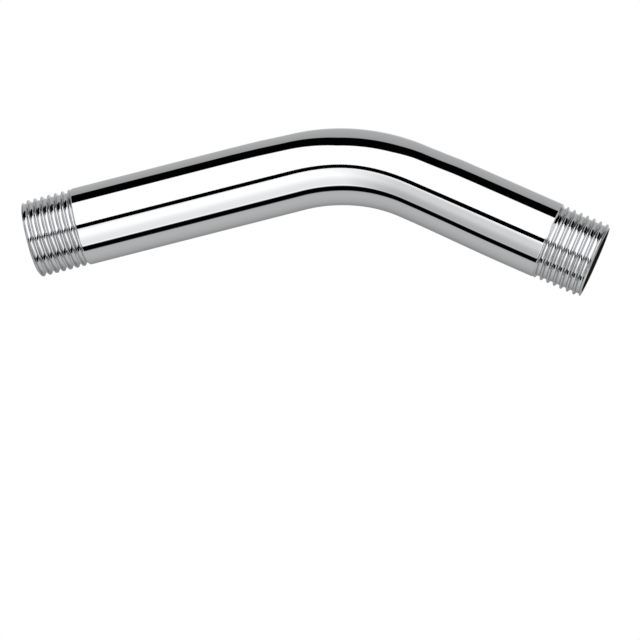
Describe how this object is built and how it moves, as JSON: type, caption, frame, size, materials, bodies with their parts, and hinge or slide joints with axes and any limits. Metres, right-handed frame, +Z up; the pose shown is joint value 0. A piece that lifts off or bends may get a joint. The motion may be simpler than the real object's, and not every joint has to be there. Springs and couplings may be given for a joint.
{
  "type": "shower arm",
  "caption": "Bent chrome-plated brass tube, open right through, with a male pipe thread on each end: carries water out from a wall outlet and down to a shower head.",
  "frame": {"origin": "centre of the end face of the inlet leg, the end that screws into the wall", "axes": "+X out of the wall along the inlet leg, +Z up, the bend in the XZ plane and the outlet leg down"},
  "size_m": [0.1445, 0.02, 0.0584],
  "materials": {
    "chrome_plated_brass": "mirror-polished chrome plate on brass"
  },
  "bodies": {
    "root": {"shower_arm": "chrome_plated_brass"}
  },
  "joints": []
}
